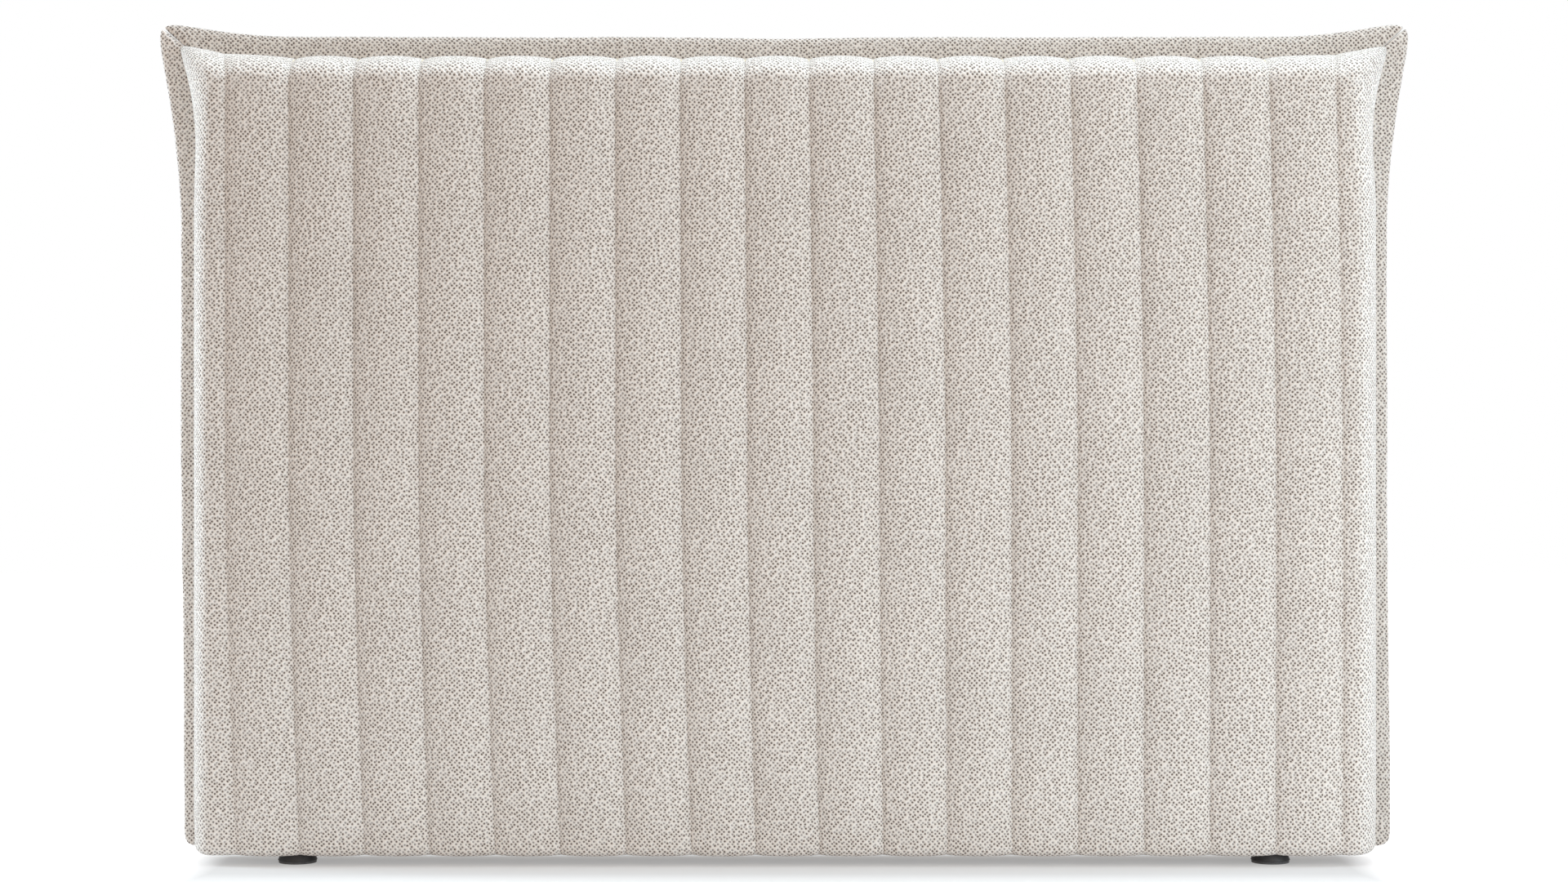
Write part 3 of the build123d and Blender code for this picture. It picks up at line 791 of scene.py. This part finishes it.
def fold_over(side, profile):
    """One folded margin. side is left, right, top or bottom; cut, its flat size before it was folded, is not
    used.
    """
    node = side + "_turnover"
    steps = list(profile) + [(inward, flat_plane) for inward in np.linspace(0.006, fold_width, 10)]
    upright = side in ("left", "right")
    start, end = (fold_low, fold_top) if upright else (-fold_half, fold_half)
    count = 110
    grid = np.zeros((count, len(steps), 3))
    for c, (inward, y) in enumerate(steps):
        edge = inward / fold_width
        for r, along in enumerate(np.linspace(start + inward, end - inward, count)):
            ragged = inward + 0.0012 * wave(along * 60, len(node)) * edge**4
            lift = -0.0004 * (0.5 + 0.5 * wave(along * 40, len(node) + 2)) * edge
            if upright:
                sign = -1 if side == "left" else 1
                grid[r, c] = (sign * (fold_half - ragged), y + lift, along)
            else:
                z = fold_top - ragged if side == "top" else fold_low + ragged
                grid[r, c] = (along, y + lift, z)
    piece = grid_piece(side + "_fold_over", grid)
    modify(piece, "SOLIDIFY", thickness=0.0011, offset=0.0)
    flat_cloth_map(piece, upright)
    piece.data.materials.append(cover_cloth)
    stands_for(piece, node)
    return piece


for side, profile, cut in (
    ("left", side_fold, (0.060, 1.083)),
    ("right", side_fold, (0.060, 1.083)),
    ("top", side_fold, (0.060, 1.592)),
    ("bottom", hem_fold, (0.072, 1.592)),
):
    piece = fold_over(side, profile)
    print(piece.name, "points:", len(piece.data.vertices))

# %% [markdown]
# ## Dust lining and staples
# The back is closed with black non-woven cloth, pulled tight and stapled near its folded edge. Between the
# timbers it hangs in by a millimetre or two. Round holes leave the threaded inserts free. A staple is a flat
# wire with two legs, so it is swept along a short bent line, and all staples are one piece, since they never
# move.

# %% Lining
lining_low, lining_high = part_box("back_lining")
insert_low, insert_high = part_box("bracket_inserts")
insert_radius = 0.008
hole_radius = 0.006
hole_heights = (insert_low.z + insert_radius, insert_high.z - insert_radius)
hole_spots = [(side * (insert_high.x - insert_radius), z) for side in (-1, 1) for z in hole_heights]
upright_low, upright_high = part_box("inner_right_upright")
rail_low, rail_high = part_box("left_mid_rail")
bay_side, bay_foot, bay_top = 0.741, 0.071, 1.041
bay_widths = ((-bay_side, -upright_high.x), (-upright_low.x, upright_low.x), (upright_high.x, bay_side))
bay_heights = ((bay_foot, rail_low.z), (rail_high.z, bay_top))
sag_depth = 0.0019
pull_depth, pull_pitch = 0.0002, 0.058


def arch(value, bays):
    """A rounded rise from 0 at one end of a bay to 1 in its middle, and 0 outside all bays."""
    for low, high in bays:
        if low < value < high:
            return math.sin(math.pi * (value - low) / (high - low)) ** 0.7
    return 0.0


def lining_dip(x, z):
    """How far the lining hangs in between the timbers, and is drawn in round the staples."""
    from_side = min(lining_high.x - abs(x), z - lining_low.z, lining_high.z - z)
    pull = math.exp(-from_side / 0.05) * (0.5 + 0.5 * math.cos(2 * math.pi * (x + z) / pull_pitch))
    return sag_depth * arch(x, bay_widths) * arch(z, bay_heights) + pull_depth * pull


def back_lining():
    """The tight cloth over the back, with a round hole over each threaded insert."""
    xs = np.linspace(lining_low.x, lining_high.x, 150)
    zs = np.linspace(lining_low.z, lining_high.z, 110)
    surface = lining_high.y - 0.0003
    grid = np.array([[(x, surface - lining_dip(x, z), z) for x in xs] for z in zs])
    piece = grid_piece("dust_lining", grid[:, ::-1])
    modify(piece, "SOLIDIFY", thickness=0.0005, offset=-1.0)
    for x, z in hole_spots:
        ring = [(x + hole_radius * math.cos(a), z + hole_radius * math.sin(a)) for a in circle_angles(24)]
        walls = np.array([[(px, y, pz) for px, pz in ring] for y in (surface - 0.015, surface + 0.015)])
        cutter = grid_piece("cutter", walls, wrap=True)
        close_up(cutter)
        modify(piece, "BOOLEAN", operation="DIFFERENCE", object=cutter, solver="EXACT")
        bpy.data.objects.remove(cutter)
    stands_for(piece, "back_lining")
    return piece


lining = back_lining()
print("lining faces:", len(lining.data.polygons))

# %% Staples


def staples(name, spots):
    """Flat wire staples at (x, z, angle) spots on the lining, as one mesh, with their legs in the timber."""
    half_line = [(0.0055, 0.0006), (0.006, 0.0002), (0.006, -0.003)]
    line = [(-along, out) for along, out in half_line[::-1]] + half_line
    section = [(0.0006, 0.0003), (-0.0006, 0.0003), (-0.0006, -0.0003), (0.0006, -0.0003)]
    points = []
    faces = []
    for x, z, angle in spots:
        start = len(points)
        for k, (along, out) in enumerate(line):
            leg = k not in (2, 3)
            for wide, thick in section:
                a = along + (math.copysign(thick, along) if leg else 0)
                o = out + (0 if leg else thick)
                px = a * math.cos(angle) - wide * math.sin(angle)
                pz = a * math.sin(angle) + wide * math.cos(angle)
                points.append((x + px, lining_high.y + o, z + pz))
        for k in range(len(line) - 1):
            for j in range(4):
                a, b = start + 4 * k + j, start + 4 * k + (j + 1) % 4
                faces.append((a, b, b + 4, a + 4))
        faces.append(tuple(start + j for j in range(4)))
        faces.append(tuple(start + 4 * (len(line) - 1) + j for j in (3, 2, 1, 0)))
    piece = new_piece(name, points, faces)
    close_up(piece)
    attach(piece, "headboard")
    return piece


spots = []
staple_pitch = 0.054
from_edge = 0.007
for k in range(29):
    x = staple_pitch * (k - 14)
    lean = 0.10 * float(wave(k * 1.3, 4))
    spots += [(x, lining_high.z - from_edge, lean), (x, lining_low.z + from_edge, -lean)]
for k in range(19):
    z = 0.062 + staple_pitch * k
    lean = full_turn + 0.10 * float(wave(k * 1.7, 6))
    spots += [(lining_low.x + from_edge, z, lean), (lining_high.x - from_edge, z, -lean)]
lining_staples = staples("lining_staples", spots)
print("staples:", len(spots))

# %% [markdown]
# ## Felt under the glides and feet
# Die-cut felt has slightly furry, rounded edges. The glide's felt is a ring that is open at the back, so it
# is swept as a strip between an inner and an outer line. The levelling foot's felt is a disc, turned like a
# lid.

# %% Felt


def felt_piece(name, grid, node, body):
    """A closed felt piece from its grid of points."""
    piece = grid_piece(name, grid, wrap=True)
    close_up(piece)
    stands_for(piece, node, body)
    return piece


def felt_disc(name, node, body):
    """A round felt pad with softly rounded rims."""
    low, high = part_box(node)
    middle = (low + high) / 2
    radius = (high.x - low.x) / 2
    thick = high.z - low.z
    lower = [(0.02, 0.0), (0.5, 0.0), (0.94, 0.0), (0.985, 0.12), (1.0, 0.35)]
    profile = lower + [(share, 1 - height) for share, height in lower[::-1]]
    turn = circle_angles(40)
    circle = radius * np.column_stack([np.cos(turn), np.sin(turn)])
    grid = np.zeros((len(profile), len(turn), 3))
    for r, (share, height) in enumerate(profile):
        grid[r, :, :2] = (middle.x, middle.y) + share * circle
        grid[r, :, 2] = low.z + thick * height
    return felt_piece(name, grid, node, body)


def felt_ring(name, node):
    """The glide's felt: a ring that is open towards the back."""
    low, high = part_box(node)
    outer_radius = (high.x - low.x) / 2
    centre = np.array([(low.x + high.x) / 2, low.y + outer_radius])
    inner_radius = 0.0172
    arm = math.sqrt(outer_radius**2 - inner_radius**2)
    start = math.atan2(arm, inner_radius)
    arcs = np.linspace(start, -math.pi - start, 60)
    outer = outer_radius * np.column_stack([np.cos(arcs), np.sin(arcs)])
    inner = outer * inner_radius / outer_radius
    arms = outer[:, 1] > 0
    inner[arms] = np.column_stack([np.sign(outer[arms, 0]) * inner_radius, np.minimum(outer[arms, 1], arm)])
    across, thick = (0.5 + 0.5 * part for part in boxy(circle_angles(24), 0.35))
    grid = np.zeros((len(outer), len(thick), 3))
    grid[:, :, :2] = (centre + inner)[:, None, :] + (outer - inner)[:, None, :] * across[None, :, None]
    grid[:, :, 2] = low.z + (high.z - low.z) * thick
    return felt_piece(name, grid, node, "headboard")


felt_pieces = []
for side in ("left", "right"):
    felt_pieces.append(felt_disc(side + "_foot_felt", side + "_foot_pad", side + "_levelling_foot"))
    felt_pieces.append(felt_ring(side + "_glide_ring_felt", side + "_glide_felt"))
print("felt pieces:", [piece.name for piece in felt_pieces])

# %% [markdown]
# ## Finishes of the hard parts
# Planed softwood shows long streaks of early and late wood that run with each timber, so the grain's
# coordinates are squeezed along the timber. Hardboard is pressed fibre: fine brown flecks with no direction.
# Zinc-plated steel has a patchy grey bloom. The glides and feet are moulded plastic with a fine stipple.

# %% Wood


def wood_grain():
    """Long streaks, fine pores and a broad shade. Squeeze is small along the timber and 1 across it."""
    group, given, made = new_group(
        "wood_grain",
        [("Squeeze", "Vector", (1.0, 1.0, 1.0))],
        [("Streak", "Float"), ("Pore", "Float"), ("Shade", "Float")],
    )
    t = Tree(group)
    place = t.node("TexCoord").outputs["Object"]
    squeezed = t.vector("MULTIPLY", place, given.outputs["Squeeze"])
    bend = t.noise(squeezed, 14.0, 2.0)
    rings = t.node("TexWave", {"wave_type": "RINGS"}, Vector=squeezed, Scale=38.0, Distortion=5.0, Detail=2.0)
    streak = t.math("ADD", t.math("MULTIPLY", rings.outputs["Fac"], 0.6), t.math("MULTIPLY", bend, 0.4))
    pore = t.noise(squeezed, 900.0, 2.0)
    t.feed(made, Streak=streak, Pore=pore, Shade=t.noise(place, 3.0, 1.0))
    return group


grain_group = wood_grain()


def softwood(name, squeeze):
    """Planed timber whose grain runs along the axis that squeeze makes short."""
    material, t, shader = new_material(name)
    grain = t.node("Group", {"node_tree": grain_group}, Squeeze=squeeze)
    early, late = linear(222, 190, 143), linear(186, 143, 92)
    colour = t.mix(t.map(grain.outputs["Streak"], 0.25, 0.8), early, late)
    colour = t.mix(t.map(grain.outputs["Pore"], 0.55, 0.75, 0.0, 0.25), colour, linear(150, 110, 70))
    shade = t.map(grain.outputs["Shade"], 0.3, 0.7, 0.92, 1.06)
    t.feed(shader, Base_Color=t.vector("SCALE", colour, shade))
    t.feed(shader, Roughness=t.map(grain.outputs["Streak"], 0.2, 0.8, 0.62, 0.74))
    t.relief(shader, grain.outputs["Pore"], 0.35, 0.0004)
    return material


lying_wood = softwood("planed_softwood_lying", (0.06, 1.0, 1.0))
standing_wood = softwood("planed_softwood_standing", (1.0, 1.0, 0.06))
print("materials:", lying_wood.name, standing_wood.name)

# %% Other hard finishes


def speckled(name, dark, light, size, rough, metallic=0.0, bump=0.3, depth=0.0003, sheen=0.0):
    """A finish of two tones mixed by noise of one size, with roughness and relief from the same noise."""
    material, t, shader = new_material(name)
    place = t.node("TexCoord").outputs["Object"]
    fine = t.noise(place, 1 / size, 4.0)
    broad = t.noise(place, 0.12 / size, 2.0)
    mixed = t.math("ADD", t.math("MULTIPLY", fine, 0.65), t.math("MULTIPLY", broad, 0.35))
    t.feed(shader, Base_Color=t.mix(t.map(mixed, 0.35, 0.65), linear(*dark), linear(*light)))
    t.feed(shader, Roughness=t.map(mixed, 0.3, 0.7, rough - 0.07, rough + 0.07))
    t.relief(shader, fine, bump, depth)
    t.feed(shader, Metallic=metallic, Sheen_Weight=sheen)
    return material


def spun_lining():
    """Black non-woven cloth: matted fibres, pressed flat in a grid of small dots."""
    material, t, shader = new_material("black_spun_lining")
    place = t.node("TexCoord").outputs["UV"]
    fibres = t.noise(place, 700.0, 4.0, Distortion=1.5)
    flat = {"feature": "F1", "voronoi_dimensions": "2D"}
    dots = t.node("TexVoronoi", flat, Vector=place, Scale=620.0, Randomness=0.1).outputs["Distance"]
    pressed = t.map(dots, 0.18, 0.3)
    tone = t.math("MULTIPLY", t.map(fibres, 0.3, 0.7, 0.6, 1.2), t.map(pressed, 0.0, 1.0, 0.7, 1.0))
    t.feed(shader, Base_Color=t.mix(tone, linear(14, 14, 16), linear(48, 48, 51)))
    t.relief(shader, t.math("ADD", t.math("MULTIPLY", fibres, 0.5), pressed), 0.4, 0.0002)
    t.feed(shader, Roughness=0.85, Sheen_Weight=0.3)
    return material


hardboard = speckled("pressed_hardboard", (84, 58, 36), (124, 88, 58), 0.0016, 0.6)
zinc = speckled("zinc_plated_steel", (150, 153, 158), (196, 199, 203), 0.004, 0.34, metallic=1.0, bump=0.08)
yellow = speckled("yellow_zinc_screws", (150, 122, 66), (204, 176, 108), 0.003, 0.32, metallic=1.0, bump=0.08)
plastic = speckled("black_moulded_plastic", (50, 50, 51), (66, 66, 67), 0.0006, 0.5, bump=0.35, depth=0.0001)
felt = speckled("grey_felt", (70, 70, 71), (112, 112, 114), 0.0005, 0.95, bump=0.8, depth=0.0005, sheen=0.4)
foam = speckled("cream_foam", (222, 208, 170), (244, 234, 205), 0.0009, 0.9, bump=0.7, depth=0.0006)
lining.data.materials.append(spun_lining())
lining_staples.data.materials.append(zinc)
for piece in foam_pieces:
    piece.data.materials.append(foam)
for piece in felt_pieces:
    piece.data.materials.append(felt)

finishes = {
    lying_wood: ["top_rail", "bottom_rail", "left_mid_rail", "centre_mid_rail", "right_mid_rail"],
    standing_wood: ["left_stile", "right_stile", "inner_left_upright", "inner_right_upright"],
    hardboard: ["face_board"],
    zinc: ["bracket_inserts"],
    yellow: ["frame_screws", "mid_rail_screws", "glide_screws"],
    plastic: [],
}
for side in ("left", "right"):
    finishes[standing_wood] += [side + "_top_corner_block", side + "_bottom_corner_block"]
    finishes[zinc] += [side + "_tee_nut", side + "_foot_screw"]
    finishes[plastic] += [side + "_foot", side + "_glide"]
for finish, names in finishes.items():
    for name in names:
        for socket in nodes[name].material_slots:
            socket.material = finish
print("CAD parts with a new finish:", sum(len(names) for names in finishes.values()))

# %% [markdown]
# ## Floor, light and background
# The photo is a cut-out on white with a faint shadow under the hem. Most of the light comes from all round,
# so the world gives it, and large soft lamps add what the photo shows on top: a brighter right side, bright
# rims left and right where the cushion turns away, and a light line along its top. The floor takes the
# shadow. To the camera alone it also glows, a little near the hem and up to full white further off, so no
# horizon shows.

# %% Stage


def white_floor():
    """A wide floor that is white to the camera, with a patch of painted shade near the object, and still
    darkens in the object's shadow.
    """
    points = [[(x, y, 0.0) for x in np.linspace(-9, 9, 10)] for y in np.linspace(-7, 9, 9)]
    floor = grid_piece("floor", np.array(points))
    material, t, shader = new_material("white_floor")
    grain = t.node("TexNoise", Scale=3.0, Detail=2.0).outputs[0]
    t.feed(shader, Base_Color=t.mix(t.map(grain, 0.3, 0.7), linear(238, 238, 238), linear(242, 242, 242)))
    t.feed(shader, Roughness=0.9, Specular_IOR_Level=0.1)
    parts = t.node("SeparateXYZ", Vector=t.node("TexCoord").outputs["Object"])
    # The glow is weaker near the object, so the floor round it is grey: painted shade, with the real shadow
    # on top.
    beside = t.map(t.math("ABSOLUTE", parts.outputs[0]), half_width - 0.04, half_width + 0.04)
    before = t.map(t.math("ABSOLUTE", parts.outputs[1]), 0.12, 0.45)
    far = t.math("MAXIMUM", beside, before)
    shown = t.node("BsdfDiffuse", Color=(0.44, 0.44, 0.44, 1))
    glow = t.node("Emission", Color=(1, 1, 1, 1), Strength=t.map(far, 0.0, 1.0, 0.33, 1.0))
    both = t.node("AddShader", **{"0": shown.outputs[0], "1": glow.outputs[0]})
    path = t.node("LightPath")
    seen = t.math("MAXIMUM", path.outputs["Is Camera Ray"], path.outputs["Is Glossy Ray"])
    choice = t.node("MixShader", Fac=seen, **{"1": shader.outputs[0], "2": both.outputs[0]})
    t.feed(material.node_tree.nodes["Material Output"], Surface=choice.outputs[0])
    floor.data.materials.append(material)


def white_world(light, tint):
    """A world that is white to the camera and lights the object at a lower level, in a warm tint."""
    world = bpy.data.worlds.new("white_world")
    bpy.context.scene.world = world
    world.use_nodes = True
    t = Tree(world.node_tree)
    background = world.node_tree.nodes["Background"]
    path = t.node("LightPath")
    seen = t.math("MAXIMUM", path.outputs["Is Camera Ray"], path.outputs["Is Transmission Ray"])
    t.feed(background, Color=t.mix(seen, tint, (1, 1, 1, 1)))
    t.feed(background, Strength=t.map(seen, 0.0, 1.0, light, 1.0))


def soft_lamp(name, place, target, size, watts, colour):
    """A rectangular lamp at a place, turned towards a target."""
    data = bpy.data.lights.new(name, "AREA")
    data.color = colour
    data.shape = "RECTANGLE"
    data.size, data.size_y = size
    data.energy = watts
    lamp = bpy.data.objects.new(name, data)
    lamp.location = place
    lamp.rotation_euler = (Vector(target) - Vector(place)).to_track_quat("-Z", "Y").to_euler()
    bpy.context.scene.collection.objects.link(lamp)


white_floor()
white_world(0.57, (1.0, 0.83, 0.72, 1))
soft_lamp("right_key", (3.0, -2.3, 1.3), (0, 0, 0.6), (1.8, 2.2), 52, (0.75, 0.91, 1.0))
soft_lamp("left_rim", (-2.3, 0.28, 0.8), (-0.8, 0.28, 0.6), (0.5, 1.8), 31, (0.73, 0.89, 1.0))
soft_lamp("right_rim", (2.3, 0.28, 0.8), (0.8, 0.28, 0.6), (0.5, 1.8), 9, (0.62, 0.80, 1.0))
soft_lamp("top_lamp", (0.2, 0.0, 2.7), (0.2, 0, 1.1), (3.2, 0.3), 46, (0.72, 0.89, 1.0))
soft_lamp("front_fill", (1.4, -3.6, 1.0), (0.4, 0, 0.6), (1.6, 1.6), 11, (1.0, 0.97, 0.95))
print("stage ready")
